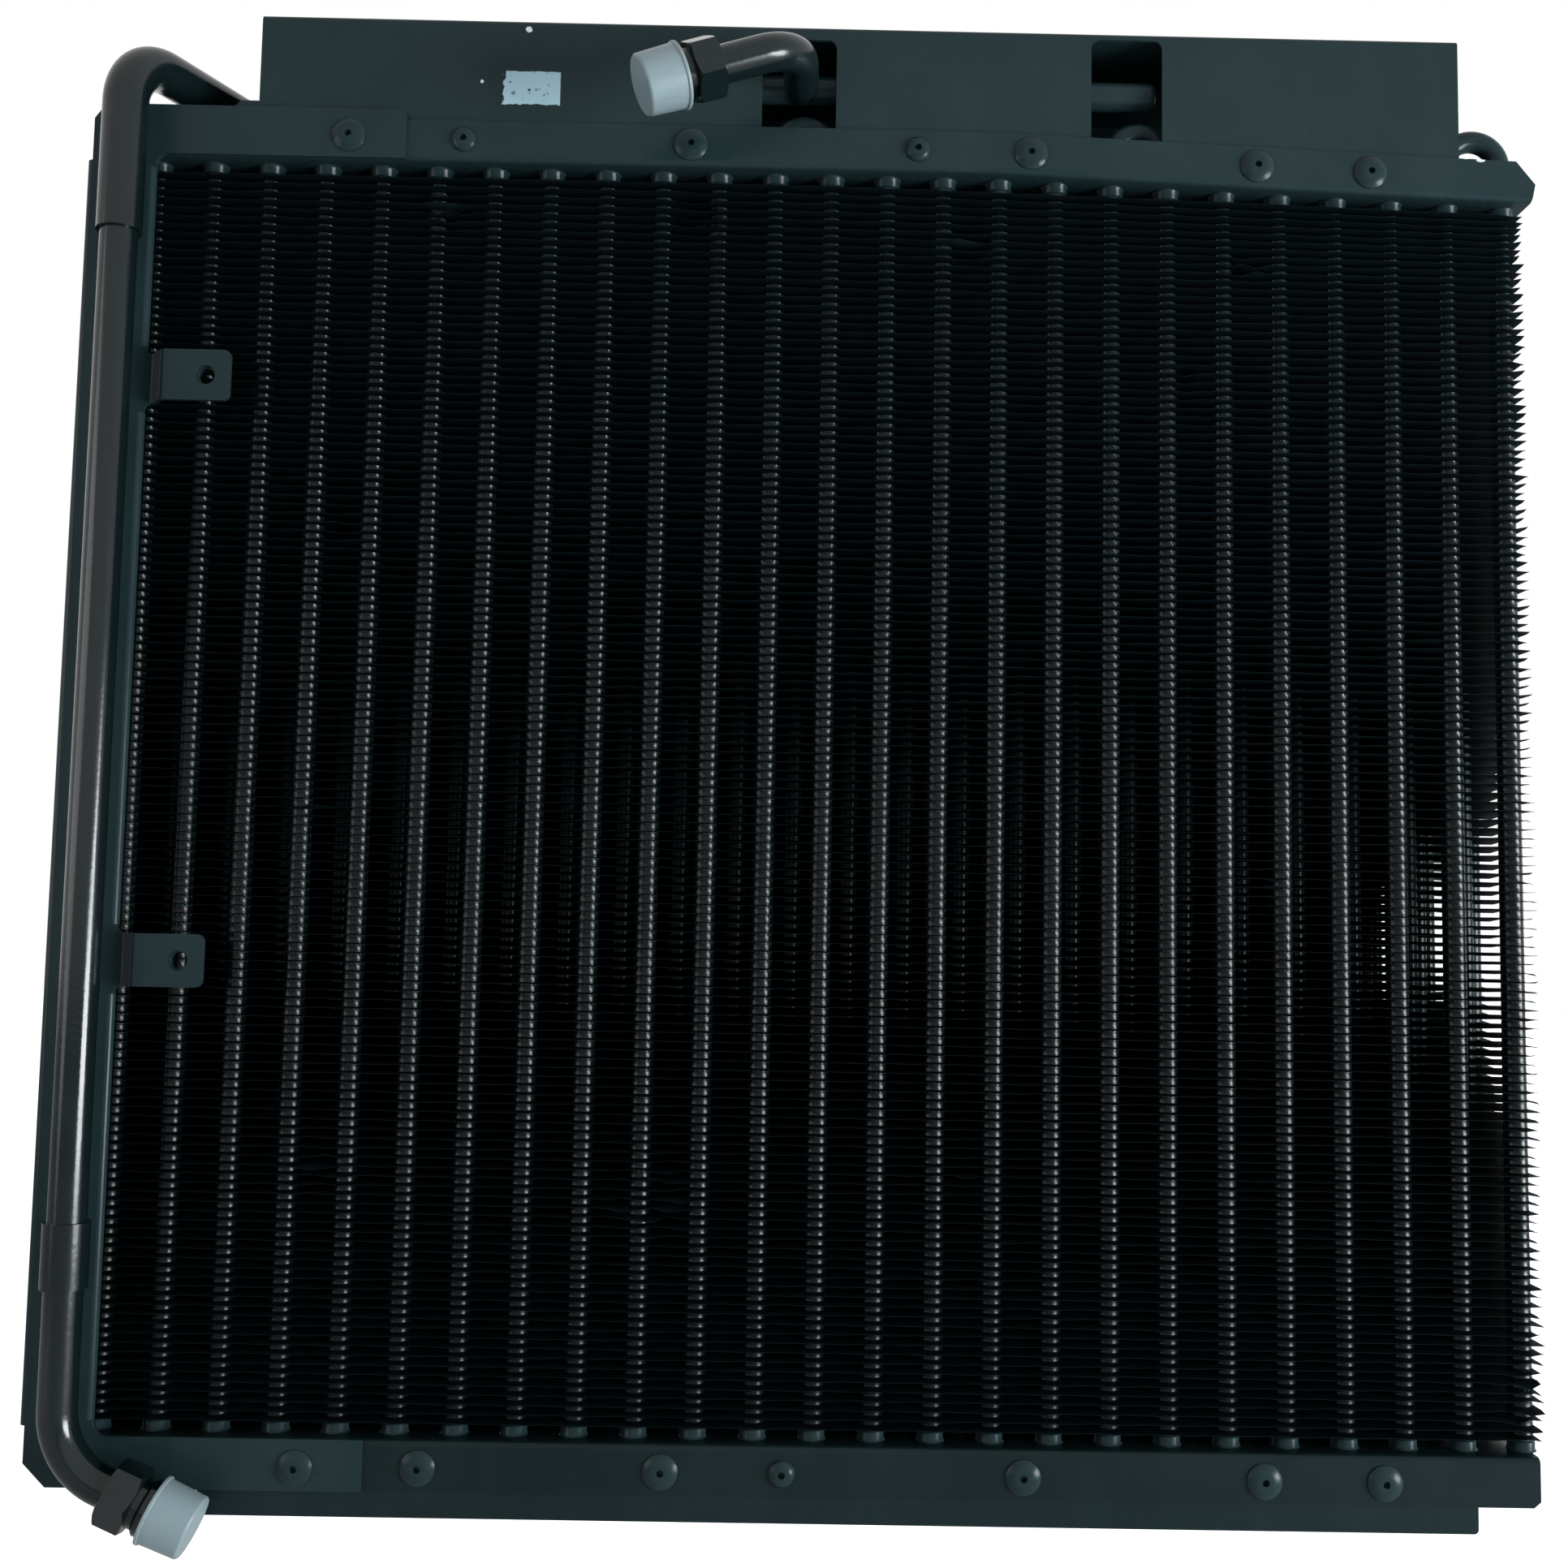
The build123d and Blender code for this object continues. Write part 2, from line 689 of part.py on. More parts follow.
# Headers and the stubs that lead into them
with BuildPart() as gas_header:
    add(header(gas_header_radius, gas_header_wall, gas_header_left, gas_header_right, rear_row_y, True))
    with BuildSketch(Plane.XY.offset(header_height)):
        with Locations(*[(tube_x(rows, column), rear_row_y) for column in stub_columns]):
            Circle(tube_radius + joint_clearance)
    extrude(amount=-gas_header_od, mode=Mode.SUBTRACT)

with BuildPart() as gas_stubs:
    add(stub_row(rows, gas_header_radius))

with BuildPart() as liquid_header:
    add(header(liquid_header_radius, liquid_header_wall, liquid_header_left, liquid_header_right,
               front_row_y, False))
    with BuildSketch(Plane.XY.offset(header_height)):
        with Locations(*[(tube_x(1, column), front_row_y) for column in stub_columns]):
            Circle(tube_radius + joint_clearance)
    extrude(amount=-liquid_header_od, mode=Mode.SUBTRACT)
    with BuildSketch(front(-front_row_y)):
        with Locations((elbow_tee_x, header_height)):
            Circle(tee_port_radius)
    extrude(amount=liquid_header_od, mode=Mode.SUBTRACT)

with BuildPart() as liquid_stubs:
    add(stub_row(1, liquid_header_radius))

# Gas pipe
with BuildPart() as upper_pipe_bend:
    add(bent_pipe([(pipe_x, pipe_y, arch_foot), (pipe_x, pipe_y, arch_front_height),
                   (arch_rear_x, rear_row_y, header_height), (gas_header_left, rear_row_y, header_height)],
                  [arch_front_radius, arch_rear_radius], gas_header_radius, gas_header_wall))

with BuildPart() as vertical_pipe:
    pipe_start = sleeve_middle + sleeve_joint / 2
    with Locations((pipe_x, pipe_y, pipe_start)):
        add(upright_tube(arch_foot + arch_socket - pipe_start, pipe_radius, pipe_wall))

with BuildPart() as coupling_sleeve:
    with Locations((pipe_x, pipe_y, sleeve_bottom)):
        add(upright_tube(sleeve_top - sleeve_bottom, sleeve_od / 2, sleeve_od / 2 - pipe_radius - joint_clearance))

with BuildPart() as lower_pipe_bend:
    add(bent_pipe([(pipe_x, pipe_y, sleeve_middle - sleeve_joint / 2), lower_corner,
                   along(lower_corner, lower_direction, lower_hex_distance + socket_depth)],
                  [lower_bend_radius], pipe_radius, pipe_wall))

with BuildPart() as lower_fitting:
    with Locations(Plane(origin=along(lower_corner, lower_direction, lower_hex_distance), x_dir=(0, -1, 0),
                         z_dir=lower_direction)):
        add(hose_fitting(pipe_radius))

with BuildPart() as lower_cap:
    with Locations(Plane(origin=along(lower_corner, lower_direction,
                                      lower_hex_distance + hex_length + lower_cap_gap),
                         x_dir=(0, -1, 0), z_dir=lower_direction)):
        add(transit_cap())

# Liquid outlet
with BuildPart() as elbow:
    add(bent_pipe([(elbow_tee_x, front_row_y - elbow_tee_offset, header_height), elbow_corner,
                   along(elbow_corner, elbow_direction, elbow_hex_distance + socket_depth)],
                  [elbow_radius], elbow_od / 2, elbow_wall))
    with BuildSketch(Plane.YZ.offset(elbow_tee_x)):
        with Locations((front_row_y, header_height)):
            Circle(liquid_header_radius)
    extrude(amount=elbow_od, both=True, mode=Mode.SUBTRACT)

with BuildPart() as upper_fitting:
    with Locations(Plane(origin=along(elbow_corner, elbow_direction, elbow_hex_distance), x_dir=(0, 0, 1),
                         z_dir=elbow_direction)):
        add(hose_fitting(elbow_od / 2))

with BuildPart() as upper_cap:
    with Locations(Plane(origin=along(elbow_corner, elbow_direction,
                                      elbow_hex_distance + hex_length + upper_cap_gap),
                         x_dir=(0, 0, 1), z_dir=elbow_direction)):
        add(transit_cap())

# Every piece is moved into the part's frame and written
home = Location((-tab_hole_x, nut_mouth, -tab_middle))
pieces = {
    "fin_pack": fin_pack,
    "front_row_tubes": front_row_tubes,
    "second_row_tubes": second_row_tubes,
    "third_row_tubes": third_row_tubes,
    "rear_row_tubes": rear_row_tubes,
    "front_row_bends": front_row_bends,
    "second_row_bends": second_row_bends,
    "third_row_bends": third_row_bends,
    "rear_row_bends": rear_row_bends,
    "crossover_bends": crossover_bends,
    "top_channel": top_channel,
    "bottom_channel": bottom_channel,
    "side_plate": side_plate,
    "weld_nuts": weld_nuts,
    "cover_plate": cover_plate,
    "lower_plate": lower_plate,
    "top_rivets": top_rivets,
    "bottom_rivets": bottom_rivets,
    "gas_header": gas_header,
    "gas_stubs": gas_stubs,
    "liquid_header": liquid_header,
    "liquid_stubs": liquid_stubs,
    "upper_pipe_bend": upper_pipe_bend,
    "vertical_pipe": vertical_pipe,
    "coupling_sleeve": coupling_sleeve,
    "lower_pipe_bend": lower_pipe_bend,
    "lower_fitting": lower_fitting,
    "lower_cap": lower_cap,
    "elbow": elbow,
    "upper_fitting": upper_fitting,
    "upper_cap": upper_cap,
}
os.makedirs("parts", exist_ok=True)
for name, piece in pieces.items():
    placed = piece.part.moved(home)
    placed.label = name
    export_step(placed, f"parts/{name}.step")
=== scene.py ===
import math
import random

import bmesh
import bpy
from mathutils import Matrix, Vector


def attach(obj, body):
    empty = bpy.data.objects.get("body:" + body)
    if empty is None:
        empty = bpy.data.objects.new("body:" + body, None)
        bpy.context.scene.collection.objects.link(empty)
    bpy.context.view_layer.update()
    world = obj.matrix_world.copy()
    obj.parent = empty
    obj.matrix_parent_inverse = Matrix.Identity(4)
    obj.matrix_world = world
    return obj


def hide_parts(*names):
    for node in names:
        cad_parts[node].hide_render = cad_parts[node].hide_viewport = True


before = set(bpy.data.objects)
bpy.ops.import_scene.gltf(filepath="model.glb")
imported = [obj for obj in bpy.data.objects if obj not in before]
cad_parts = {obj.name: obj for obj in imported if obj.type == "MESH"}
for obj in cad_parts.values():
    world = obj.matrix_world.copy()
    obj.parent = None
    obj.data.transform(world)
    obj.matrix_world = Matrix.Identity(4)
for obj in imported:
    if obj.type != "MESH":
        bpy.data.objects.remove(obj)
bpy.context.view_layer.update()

bl_info = {
    "name": "Air conditioning condenser",
    "version": (1, 0, 0),
    "blender": (4, 5, 0),
    "location": "3D View > Sidebar > Condenser",
    "description": "Dresses the condenser's solids: fins, collars, paint, fittings and caps",
    "category": "Add Mesh",
}

MILLIMETRE = 0.001

# The tube field's middle in the part's frame
MIDDLE = Vector((265.8, 53.294, -47.6)) * MILLIMETRE

# Tube field, as in the solids
TUBE_PITCH = 25.4
ROW_PITCH = TUBE_PITCH * math.sin(math.radians(60))
COLUMNS = 25
ROWS = 4
FIN_COUNT = 139
FIN_PITCH = 3.93
FIN_BOTTOM = -271.62
FIN_TOP = FIN_BOTTOM + (FIN_COUNT - 1) * FIN_PITCH
FIN_HALF_WIDTH = 317.5
FIN_HALF_DEPTH = 43.99

# Faces of the channels' webs above and below the middle, and the dented stretch of the top one
WEB = 278.12
DROOP_START = 75.0
DROOP_END = 322.0

# The fins that were pushed down with it: height of the stretch, and their share of the droop
PUSHED_HEIGHT = 60.0
PUSHED_SHARE = 0.8
PUSHED_MOST = 1.1
PUSHED_CURVE = 1.2

# Folds of a fin from front to back: depth in millimetres, and the fold's share there
FIN_FOLDS = ((-FIN_HALF_DEPTH, 0.0), (-40.8, 0.0), (-27.5, 0.0), (-19.0, 1.0), (0.0, -1.0), (19.0, 1.0),
             (40.8, 0.0), (FIN_HALF_DEPTH, 0.0))
CELLS_PER_PITCH = 4
END_FOLD_START = 255.0
END_FOLD_BLEND = 30.0

# Uneven front and rear edges and ragged right ends of the fins, in millimetres
EDGE_SETBACK = 0.35
END_SETBACK = 2.4
RAGGED_LENGTH = 8.0
RAGGED_HEIGHT = 0.7

# Places where fins were bent: x, z, half width, half height, strength, in millimetres
BENT_FINS = (
    (-200.0, 261.0, 4.0, 6.0, 2.2), (-167.0, 256.0, 11.0, 12.0, 2.6), (-54.0, 255.0, 14.0, 14.0, 2.8),
    (66.0, 246.0, 13.0, 10.0, 2.6), (192.0, 238.0, 12.0, 8.0, 2.4), (164.0, 181.0, 4.0, 14.0, 1.8),
    (-206.0, 113.0, 8.0, 12.0, 1.8), (-216.0, -12.0, 11.0, 8.0, 1.8), (204.0, -38.0, 5.0, 14.0, 1.6),
    (-208.0, -166.0, 17.0, 15.0, 2.2), (-64.0, -178.0, 24.0, 22.0, 2.4), (66.0, -167.0, 6.0, 5.0, 2.0),
    (310.0, -254.0, 14.0, 15.0, 3.4),
)

# Fin collars along a tube: radius inside, and heights from the fin they belong to, in millimetres
COLLAR_INNER = 4.6
COLLAR_STEP = 0.12
COLLAR_LIP = 0.2
COLLAR_RISE = 0.7
COLLARS_BELOW = 0.6
COLLARS_ABOVE = 2.7
COLLAR_SHARES = ((1, 9), (9, 17), (17, COLUMNS + 1))

# A channel's collar round a tube: radius and distance from the web's face, in millimetres
WEB_COLLAR = ((4.6, 4.4), (5.3, 4.4), (5.65, 3.9), (5.65, 0.8), (6.3, 0.0), (4.6, 0.0))

# Chips in the paint: x, z, radius in millimetres, and how much wider than high
CHANNEL_CHIPS = ((291.0, 289.5, 1.0, 2.2), (297.5, 288.2, 0.9, 2.4), (-50.0, -276.5, 1.0, 1.6))
COVER_CHIPS = ((-131.5, 340.4, 1.5, 1.1), (-151.8, 315.6, 0.9, 1.0))

# Opposite corners of the sticker's remnant, x and z in millimetres
REMNANT = ((-142.0, 305.2), (-116.6, 320.6))

# The lamps: name, place, aim, width and height in metres, watts, tint
LAMPS = (
    ("side_lamp", (1740, -990, -300), (0, 0, -120), 0.75, 0.95, 72.0, (0.93, 0.98, 1.0)),
    ("left_lamp", (-1400, -800, 150), (0, 0, 0), 0.9, 0.9, 6.0, (0.95, 0.99, 1.0)),
)
DIFFUSE_LEVEL = 0.4
FLOOR_HEIGHT = -520.0
FLOOR_HALF_WIDTH = 9.0

# The photograph's camera: its place in millimetres from the tube field's middle, and its lens
CAMERA_PLACE = (-15.914, -765.346, -58.129)
CAMERA_TILT = math.radians(4.7113)
CAMERA_YAW = math.radians(0.438)
CAMERA_ROLL = math.radians(1.0404)
SENSOR_WIDTH = 36.0
PHOTO_WIDTH = 1932
FOCAL_LENGTH = 2050 / PHOTO_WIDTH * SENSOR_WIDTH
CLIP_START = 0.05
CLIP_END = 50.0


def at(x, y, z):
    """A place given in millimetres from the tube field's middle, in the part's frame."""
    return Vector((x, y, z)) * MILLIMETRE + MIDDLE


def tube_x(row, column):
    shift = TUBE_PITCH / 4 if row % 2 else -TUBE_PITCH / 4
    return (column - (COLUMNS + 1) / 2) * TUBE_PITCH + shift


def row_y(row):
    return (row - (ROWS + 1) / 2) * ROW_PITCH


def channel_droop(x, amount):
    """How far the dented top channel hangs down at a place along it."""
    return amount * max(0.0, x - DROOP_START) / (DROOP_END - DROOP_START)


def fin_droop(x, z, amount):
    """How far the top fins were pushed down under the dented channel."""
    near_top = max(0.0, min(1.0, (z - FIN_TOP + PUSHED_HEIGHT) / PUSHED_HEIGHT))
    along = max(0.0, min(PUSHED_MOST, x / DROOP_END)) ** PUSHED_CURVE
    return PUSHED_SHARE * amount * along * near_top * near_top


class CondenserSizes(bpy.types.PropertyGroup):
    """Sizes of what the solids leave plain."""

    fin_wave: bpy.props.FloatProperty(
        name="Fin wave", default=0.2,
        description="How far a fin's front edge waves up and down, in mm")
    fin_sheet: bpy.props.FloatProperty(
        name="Fin sheet", default=0.16,
        description="Thickness of a fin, in mm")
    fin_fold: bpy.props.FloatProperty(
        name="Fin fold", default=1.9,
        description="How far the fins are folded up and down between the tube rows, in mm")
    end_fold: bpy.props.FloatProperty(
        name="End fold", default=0.8,
        description="The same fold beyond the last but one tube, in mm")
    collar_radius: bpy.props.FloatProperty(
        name="Collar radius", default=4.95,
        description="Radius of a fin's collar along the tube, in mm")
    collar_flare: bpy.props.FloatProperty(
        name="Collar flare", default=5.05,
        description="Radius of a collar where it meets its fin, in mm")
    droop: bpy.props.FloatProperty(
        name="Channel droop", default=8.8,
        description="How far the dented top channel hangs at its right end, in mm")
    edge: bpy.props.FloatProperty(
        name="Sheet edge", default=0.00028, subtype="DISTANCE", unit="LENGTH",
        description="Radius on the edges of the sheets")


class CondenserColours(bpy.types.PropertyGroup):
    """Colours of the finishes."""

    paint: bpy.props.FloatVectorProperty(
        name="Paint", default=(0.0112, 0.0245, 0.0275), subtype="COLOR",
        description="Black paint on sheets and pipes")
    dust: bpy.props.FloatVectorProperty(
        name="Dust", default=(0.022, 0.038, 0.041), subtype="COLOR",
        description="Fine dust in the paint")
    # The fin colour is the fins' own black, made darker still as painted shade inside the fin pack; the
    # collars take it too.
    fins: bpy.props.FloatVectorProperty(
        name="Fins", default=(0.0028, 0.0060, 0.0078), subtype="COLOR",
        description="Paint on the fins")
    bare: bpy.props.FloatVectorProperty(
        name="Bare metal", default=(0.62, 0.68, 0.7), subtype="COLOR",
        description="Chips and scratches in the paint")
    cap: bpy.props.FloatVectorProperty(
        name="Caps", default=(0.21, 0.28, 0.305), subtype="COLOR",
        description="Plastic of the transit caps")
    paper: bpy.props.FloatVectorProperty(
        name="Paper", default=(0.42, 0.62, 0.72), subtype="COLOR",
        description="Remnant of a blank sticker")


class Wire:
    """A number that comes out of a node, and takes part in sums."""

    def __init__(self, finish, socket):
        self.finish = finish
        self.socket = socket

    def join(self, operation, first, second):
        return self.finish.add("ShaderNodeMath", {"operation": operation}, {0: first, 1: second})

    def __add__(self, other):
        return self.join("ADD", self, other)

    def __radd__(self, other):
        return self.join("ADD", other, self)

    def __sub__(self, other):
        return self.join("SUBTRACT", self, other)

    def __rsub__(self, other):
        return self.join("SUBTRACT", other, self)

    def __mul__(self, other):
        return self.join("MULTIPLY", self, other)

    def __rmul__(self, other):
        return self.join("MULTIPLY", other, self)


class Finish:
    """A material under construction."""

    def __init__(self, name):
        self.material = bpy.data.materials.new(name)
        self.material.use_nodes = True
        self.tree = self.material.node_tree
        self.tree.nodes.clear()
        self.shader = self.tree.nodes.new("ShaderNodeBsdfPrincipled")
        out = self.tree.nodes.new("ShaderNodeOutputMaterial")
        self.tree.links.new(self.shader.outputs[0], out.inputs[0])
        coordinates = self.tree.nodes.new("ShaderNodeTexCoord")
        self.place = Wire(self, coordinates.outputs["Object"])
        parts = self.tree.nodes.new("ShaderNodeSeparateXYZ")
        self.tree.links.new(coordinates.outputs["Object"], parts.inputs[0])
        self.x, self.y, self.z = (Wire(self, parts.outputs[name]) for name in "XYZ")

    def add(self, kind, settings, sockets, output=0):
        node = self.tree.nodes.new(kind)
        for name, value in settings.items():
            setattr(node, name, value)
        for name, value in sockets.items():
            if isinstance(value, Wire):
                self.tree.links.new(value.socket, node.inputs[name])
            else:
                node.inputs[name].default_value = value
        return Wire(self, node.outputs[output])

    def noise(self, scale, detail=3.0, roughness=0.55, stretch=None):
        place = self.place
        if stretch:
            place = self.add("ShaderNodeMapping", {}, {"Vector": self.place, "Scale": stretch})
        return self.add("ShaderNodeTexNoise", {},
                        {"Vector": place, "Scale": scale, "Detail": detail, "Roughness": roughness})

    def ramp(self, value, low, high):
        return self.add("ShaderNodeMapRange", {"clamp": True, "interpolation_type": "SMOOTHSTEP"},
                        {0: value, 1: low, 2: high, 3: 0.0, 4: 1.0})

    def mix(self, factor, first, second):
        colours = {"Factor": factor, 6: first, 7: second}
        return self.add("ShaderNodeMix", {"data_type": "RGBA"}, colours, 2)

    def spot(self, x, z, radius, stretch=1.0):
        """A round place with an uneven rim, in millimetres from the tube field's middle."""
        centre = at(x, 0, z)
        across = (self.x - centre.x) * (1 / stretch)
        up = self.z - centre.z
        rim = (radius * MILLIMETRE) ** 2
        uneven = (self.noise(700.0) - 0.5) * rim
        return self.ramp(across * across + up * up + uneven, rim, rim * 0.55)

    def set(self, **sockets):
        for name, value in sockets.items():
            socket = self.shader.inputs[name.replace("_", " ")]
            if isinstance(value, Wire):
                self.tree.links.new(value.socket, socket)
            else:
                socket.default_value = value

    def bump(self, height, strength, distance):
        self.set(Normal=self.add("ShaderNodeBump", {},
                                 {"Height": height, "Strength": strength, "Distance": distance}))


def colour(values):
    return (*values, 1.0)


def black_paint(name, colours, dust=0.5, marks=(), remnant=False, gloss=0.2, shine=0.11, painted_shade_factor=1.0):
    """Glossy black paint with a fine orange peel, dust and the marks that are listed, with its base
    colour scaled down by the last factor where painted shade is wanted.
    """
    finish = Finish(name)
    cloud = finish.ramp(finish.noise(14.0, 5.0), 0.36, 0.72)
    specks = finish.ramp(finish.noise(900.0, 2.0), 0.60, 0.78)
    streaks = finish.ramp(finish.noise(60.0, 4.0, 0.6, (1.0, 1.0, 0.25)), 0.45, 0.8)
    grime = (cloud * 0.34 + specks * 0.30 + streaks * 0.22) * dust
    # Painted shade: the paint's base colour is scaled down for pieces drawn darker than the sheets.
    base = tuple(channel * painted_shade_factor for channel in colours.paint)
    tone = finish.mix(grime, colour(base), colour(colours.dust))
    rough = gloss + cloud * 0.10 + specks * 0.10
    for x, z, radius, stretch in marks:
        chip = finish.spot(x, z, radius, stretch)
        tone = finish.mix(chip, tone, colour(colours.bare))
        rough = rough + chip * 0.2
    if remnant:
        low, high = (at(x, 0, z) for x, z in REMNANT)
        rag = (finish.noise(420.0, 4.0) - 0.5) * 0.004
        left = finish.ramp(finish.x + rag * 2.0, low.x, low.x + 0.0004)
        right = finish.ramp(finish.x, high.x + 0.0002, high.x - 0.0002)
        under = finish.ramp(finish.z + rag * 0.5, low.z, low.z + 0.0003)
        over = finish.ramp(finish.z + rag * 0.3, high.z + 0.0003, high.z)
        paper = left * right * under * over * finish.ramp(finish.noise(330.0, 3.0), 0.30, 0.42)
        tone = finish.mix(paper * 0.85, tone, colour(colours.paper))
        rough = rough + paper * 0.35
    finish.set(Base_Color=tone, Roughness=rough)
    finish.set(Specular_IOR_Level=shine)
    peel = finish.noise(420.0, 2.0) * 0.7 + finish.noise(60.0, 2.0) * 0.6
    finish.bump(peel, 0.10, 0.0006)
    return finish.material


def fin_paint(name, colours, gloss=0.6, lift=1.0, shine=0.03):
    """Thin paint over sheet metal, with dust in places."""
    finish = Finish(name)
    cloud = finish.ramp(finish.noise(35.0, 4.0), 0.40, 0.75)
    rubbed = finish.ramp(finish.noise(240.0, 3.0, 0.6, (0.3, 1.0, 1.0)), 0.58, 0.75)
    # The base colour carries painted shade from inside the fin pack, on fins and collars alike.
    base = tuple(channel * lift for channel in colours.fins)
    tone = finish.mix(cloud * 0.04 + rubbed * 0.05, colour(base), colour(colours.dust))
    finish.set(Base_Color=tone, Roughness=gloss + cloud * 0.06)
    finish.set(Specular_IOR_Level=shine)
    finish.bump(finish.noise(500.0, 2.0), 0.06, 0.0002)
    return finish.material


def cap_plastic(name, colours):
    """Milky plastic with faint flow lines and scuffs."""
    finish = Finish(name)
    cloud = finish.noise(45.0, 4.0)
    scuffs = finish.ramp(finish.noise(300.0, 5.0, 0.7, (1.0, 1.0, 0.2)), 0.55, 0.8)
    warm = tuple(channel * 0.86 for channel in colours.cap)
    tone = finish.mix(cloud * 0.5 + scuffs * 0.35, colour(colours.cap), colour(warm))
    finish.set(Base_Color=tone, Roughness=0.36 + scuffs * 0.25)
    finish.set(Subsurface_Weight=0.35, Subsurface_Scale=0.004, Specular_IOR_Level=0.4)
    finish.bump(finish.noise(160.0, 3.0), 0.08, 0.0008)
    return finish.material


def put(name, bm, material, replaced=(), sharp=35.0, edge=0.0):
    """Makes a finished piece of a bmesh, fixed to the part's body."""
    for face in bm.faces:
        face.smooth = True
    limit = math.radians(sharp)
    for line in bm.edges:
        line.smooth = len(line.link_faces) == 2 and line.calc_face_angle(0.0) < limit
    mesh = bpy.data.meshes.new(name)
    bm.to_mesh(mesh)
    bm.free()
    mesh.materials.append(material)
    piece = bpy.data.objects.new(name, mesh)
    bpy.context.scene.collection.objects.link(piece)
    if edge:
        bevel = piece.modifiers.new("edges", "BEVEL")
        bevel.width = edge
        bevel.segments = 2
        bevel.limit_method = "ANGLE"
        bevel.angle_limit = math.radians(50)
        bevel.harden_normals = True
    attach(piece, "root")
    if replaced:
        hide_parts(*replaced)
    return piece


def solid_of(node, flat=False):
    """A merged copy of a node's mesh, with whole flat faces where its edges will be rounded."""
    bm = bmesh.new()
    bm.from_mesh(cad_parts[node].data)
    bmesh.ops.remove_doubles(bm, verts=bm.verts, dist=0.00001)
    if flat:
        bmesh.ops.dissolve_limit(bm, angle_limit=math.radians(0.4), use_dissolve_boundaries=False,
                                 verts=bm.verts, edges=bm.edges, delimit=set())
    return bm


def dress(node, material, edge=0.0, sharp=35.0):
    """Shows a node as a smooth copy of its solid."""
    return put(node + "_shown", solid_of(node, edge > 0), material, (node,), sharp, edge)


def turned(profile, steps):
    """A closed ring turned about the Z axis from a closed profile of radii and heights."""
    bm = bmesh.new()
    corners = [bm.verts.new((radius * MILLIMETRE, 0, height * MILLIMETRE))
               for radius, height in profile]
    lines = [bm.edges.new((first, second)) for first, second in zip(corners, corners[1:] + corners[:1])]
    bmesh.ops.spin(bm, geom=corners + lines, axis=(0, 0, 1), cent=(0, 0, 0), dvec=(0, 0, 0),
                   angle=2 * math.pi, steps=steps, use_merge=True)
    bmesh.ops.remove_doubles(bm, verts=bm.verts, dist=0.0000001)
    bmesh.ops.recalc_face_normals(bm, faces=bm.faces)
    mesh = bpy.data.meshes.new("turned")
    bm.to_mesh(mesh)
    bm.free()
    return mesh


def repeated(mesh, places):
    """One bmesh with a copy of a mesh at each place."""
    bm = bmesh.new()
    for place in places:
        before = len(bm.verts)
        bm.from_mesh(mesh)
        bm.verts.ensure_lookup_table()
        bmesh.ops.translate(bm, verts=bm.verts[before:], vec=place)
    return bm


def fin_group(first, last, sizes, chance):
    """The fins from one number to another: closed folded sheets with bent and ragged places."""
    bm = bmesh.new()
    back = len(FIN_FOLDS) - 1
    for number in range(first, last):
        height = FIN_BOTTOM + number * FIN_PITCH
        made = bmesh.ops.create_grid(bm, x_segments=COLUMNS * CELLS_PER_PITCH, y_segments=back, size=1.0)
        phase = chance.uniform(0, 2 * math.pi)
        tip = chance.uniform(-END_SETBACK, 0.0)
        for vert in made["verts"]:
            line = round((vert.co.y + 1) / 2 * back)
            x = vert.co.x * FIN_HALF_WIDTH
            y, share = FIN_FOLDS[line]
            if x > FIN_HALF_WIDTH - 1:
                x += tip
            near_end = max(0.0, min(1.0, (x - END_FOLD_START) / END_FOLD_BLEND))
            z = height + share * (sizes.fin_fold * (1 - near_end) + sizes.end_fold * near_end)
            if line in (0, back):
                wave = sizes.fin_wave * math.sin(x * 2 * math.pi / TUBE_PITCH + phase)
                z += wave * chance.uniform(0.4, 1.2)
                y -= math.copysign(chance.uniform(0, EDGE_SETBACK), y)
                if x > FIN_HALF_WIDTH - RAGGED_LENGTH:
                    z += chance.uniform(-RAGGED_HEIGHT, RAGGED_HEIGHT)
            if line < 2:
                for spot_x, spot_z, wide, high, strength in BENT_FINS:
                    reach = ((x - spot_x) / wide) ** 2 + ((height - spot_z) / high) ** 2
                    if reach < 1:
                        fall = (1 - reach) * strength * (1 - 0.5 * line)
                        z += fall * chance.uniform(-1.0, 0.55)
                        y += fall * chance.uniform(0, 0.5)
            z -= fin_droop(x, height, sizes.droop)
            vert.co = at(x, y, z)
        faces = list({face for vert in made["verts"] for face in vert.link_faces})
        bmesh.ops.solidify(bm, geom=faces, thickness=sizes.fin_sheet * MILLIMETRE)
    bmesh.ops.recalc_face_normals(bm, faces=bm.faces)
    return bm


class CONDENSER_OT_fins(bpy.types.Operator):
    """Adds the fins as thin wavy sheets, with the bent ones of the used part"""

    bl_idname = "condenser.fins"
    bl_label = "Fins"

    def execute(self, context):
        sizes, colours = context.scene.condenser_sizes, context.scene.condenser_colours
        chance = random.Random(7)
        material = fin_paint("fin_paint", colours)
        third = FIN_COUNT // 3
        groups = (("lower_fins", 0, third), ("middle_fins", third, 2 * third),
                  ("upper_fins", 2 * third, FIN_COUNT))
        for name, first, last in groups:
            bm = fin_group(first, last, sizes, chance)
            piece = put(name, bm, material, ("fin_pack",), 60)
            if not piece.data.polygons:
                raise RuntimeError("the fins were not made")
        return {"FINISHED"}


def fin_collars(row, start, end, ring, droop):
    """The collars of all the fins on some of a row's tubes, pushed down with the fins."""
    bm = repeated(ring, [at(tube_x(row, column), row_y(row), 0) for column in range(start, end)])
    for vert in bm.verts:
        x, z = (vert.co.x - MIDDLE.x) / MILLIMETRE, (vert.co.z - MIDDLE.z) / MILLIMETRE
        vert.co.z -= fin_droop(x, z, droop) * MILLIMETRE
    return bm


